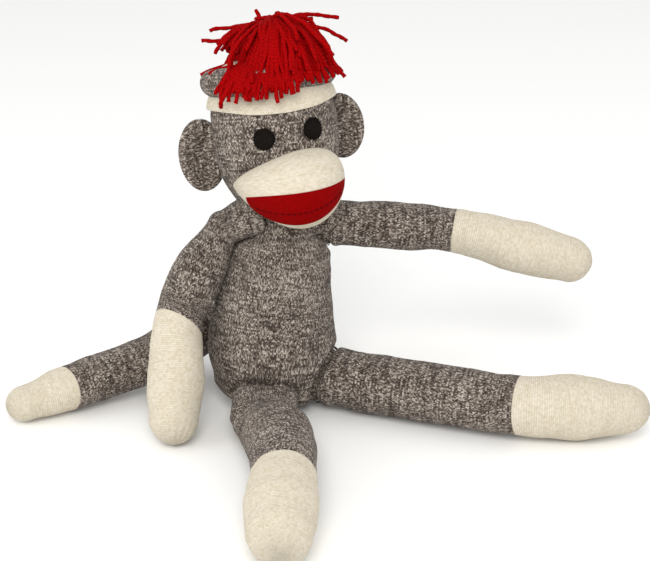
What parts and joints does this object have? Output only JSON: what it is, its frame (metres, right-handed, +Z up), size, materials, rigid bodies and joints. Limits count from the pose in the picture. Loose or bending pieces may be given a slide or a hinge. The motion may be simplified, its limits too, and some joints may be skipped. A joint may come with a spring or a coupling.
{
  "type": "stuffed sock monkey",
  "caption": "Seated stuffed sock monkey of marled grey and cream knit, with a red mouth, felt eyes, rolled hat and red yarn pompom; head, limbs and tail move.",
  "frame": {"origin": "middle of the torso's flat seat, on the surface that the monkey sits on", "axes": "+Z up, the chest faces -Y, +X is the monkey's own left side"},
  "size_m": [0.4245, 0.3062, 0.2977],
  "materials": {
    "grey_knit": "marled grey and white stocking knit",
    "cream_knit": "cream stocking knit",
    "filling": "loose polyester fibre filling",
    "red_yarn": "plied red yarn",
    "red_felt": "red felt",
    "black_felt": "black felt",
    "grey_thread": "grey sewing thread",
    "dark_red_thread": "dark red thread"
  },
  "bodies": {
    "torso": {"torso_cover": "grey_knit", "torso_stuffing": "filling", "closing_seam": "grey_thread"},
    "neck": {"neck_cover": "grey_knit", "neck_stuffing": "filling"},
    "head": {"head_cover": "grey_knit", "head_stuffing": "filling", "muzzle_cover": "cream_knit", "muzzle_stuffing": "filling", "mouth_patch": "red_felt", "lip_stitching": "dark_red_thread", "left_eye": "black_felt", "right_eye": "black_felt", "left_ear_cover": "grey_knit", "left_ear_padding": "filling", "right_ear_cover": "grey_knit", "right_ear_padding": "filling", "hat_band": "cream_knit", "hat_roll": "grey_knit", "hat_top": "cream_knit", "pompom_tie": "red_yarn", "pompom": "red_yarn"},
    "left_shoulder": {"left_shoulder_cover": "grey_knit", "left_shoulder_stuffing": "filling", "left_shoulder_stitches": "grey_thread"},
    "left_sleeve": {"left_sleeve_cover": "grey_knit", "left_sleeve_stuffing": "filling"},
    "left_hand": {"left_hand_cover": "cream_knit", "left_hand_stuffing": "filling"},
    "right_shoulder": {"right_shoulder_cover": "grey_knit", "right_shoulder_stuffing": "filling", "right_shoulder_stitches": "grey_thread"},
    "right_sleeve": {"right_sleeve_cover": "grey_knit", "right_sleeve_stuffing": "filling"},
    "right_hand": {"right_hand_cover": "cream_knit", "right_hand_stuffing": "filling"},
    "left_hip": {"left_hip_cover": "grey_knit", "left_hip_stuffing": "filling", "left_hip_stitches": "grey_thread"},
    "left_leg": {"left_leg_cover": "grey_knit", "left_leg_stuffing": "filling"},
    "left_foot": {"left_foot_cover": "cream_knit", "left_foot_stuffing": "filling"},
    "right_hip": {"right_hip_cover": "grey_knit", "right_hip_stuffing": "filling", "right_hip_stitches": "grey_thread"},
    "right_leg": {"right_leg_cover": "grey_knit", "right_leg_stuffing": "filling"},
    "right_foot": {"right_foot_cover": "cream_knit", "right_foot_stuffing": "filling"},
    "tail_root": {"tail_root_cover": "grey_knit", "tail_root_stuffing": "filling", "tail_root_stitches": "grey_thread"},
    "tail_base": {"tail_base_cover": "grey_knit", "tail_base_stuffing": "filling"},
    "tail_end": {"tail_end_cover": "grey_knit", "tail_tip_cover": "cream_knit", "tail_end_stuffing": "filling"}
  },
  "joints": [
    {"name": "head_nod", "type": "hinge", "parent": "torso", "child": "neck", "pos_m": [0.006, 0.003, 0.15], "axis": [0.944, -0.3231, 0.0671], "range_deg": [-8, 20]},
    {"name": "head_turn", "type": "hinge", "parent": "neck", "child": "head", "pos_m": [0.006, 0.003, 0.15], "axis": [0.0285, 0.2822, 0.9589], "range_deg": [-22, 30]},
    {"name": "left_arm_raise", "type": "hinge", "parent": "torso", "child": "left_shoulder", "pos_m": [0.0455, -0.0125, 0.139], "axis": [-0.4035, -0.915, 0], "range_deg": [-45, 50]},
    {"name": "left_arm_swing", "type": "hinge", "parent": "left_shoulder", "child": "left_sleeve", "pos_m": [0.0455, -0.0125, 0.139], "axis": [0, 0, 1], "range_deg": [-35, 45]},
    {"name": "left_wrist_bend", "type": "hinge", "parent": "left_sleeve", "child": "left_hand", "pos_m": [0.126, -0.048, 0.1285], "axis": [0.2765, 0.7892, -0.5483], "range_deg": [-30, 20]},
    {"name": "right_arm_raise", "type": "hinge", "parent": "torso", "child": "right_shoulder", "pos_m": [-0.04, 0.015, 0.143], "axis": [-0.0971, 0.9953, 0], "range_deg": [-2, 40]},
    {"name": "right_arm_swing", "type": "hinge", "parent": "right_shoulder", "child": "right_sleeve", "pos_m": [-0.04, 0.015, 0.143], "axis": [-1, 0, 0], "range_deg": [-6, 60]},
    {"name": "right_wrist_bend", "type": "hinge", "parent": "right_sleeve", "child": "right_hand", "pos_m": [-0.081, 0.011, 0.08], "axis": [-0.7946, -0.2865, 0.5353], "range_deg": [-30, 0]},
    {"name": "left_leg_raise", "type": "hinge", "parent": "torso", "child": "left_hip", "pos_m": [0.037, -0.058, 0.025], "axis": [-0.7437, -0.6685, 0], "range_deg": [-30, 70]},
    {"name": "left_leg_swing", "type": "hinge", "parent": "left_hip", "child": "left_leg", "pos_m": [0.037, -0.058, 0.025], "axis": [0, 0, 1], "range_deg": [-35, 30]},
    {"name": "left_ankle_bend", "type": "hinge", "parent": "left_leg", "child": "left_foot", "pos_m": [0.117, -0.147, 0.0255], "axis": [0.0592, 0.0588, 0.9965], "range_deg": [-30, 12]},
    {"name": "right_leg_raise", "type": "hinge", "parent": "torso", "child": "right_hip", "pos_m": [-0.043, -0.061, 0.027], "axis": [-0.9213, 0.389, 0], "range_deg": [-30, 70]},
    {"name": "right_leg_swing", "type": "hinge", "parent": "right_hip", "child": "right_leg", "pos_m": [-0.043, -0.061, 0.027], "axis": [0, 0, 1], "range_deg": [-30, 20]},
    {"name": "right_ankle_bend", "type": "hinge", "parent": "right_leg", "child": "right_foot", "pos_m": [-0.081, -0.151, 0.032], "axis": [0.7204, -0.3378, -0.6057], "range_deg": [-30, 12]},
    {"name": "tail_raise", "type": "hinge", "parent": "torso", "child": "tail_root", "pos_m": [-0.034, 0.054, 0.043], "axis": [-0.0172, 0.9999, 0], "range_deg": [-8, 50]},
    {"name": "tail_swing", "type": "hinge", "parent": "tail_root", "child": "tail_base", "pos_m": [-0.034, 0.054, 0.043], "axis": [0, 0, 1], "range_deg": [-45, 10]},
    {"name": "tail_bend", "type": "hinge", "parent": "tail_base", "child": "tail_end", "pos_m": [-0.092, 0.053, 0.027], "axis": [0, 0, 1], "range_deg": [-25, 25]}
  ]
}
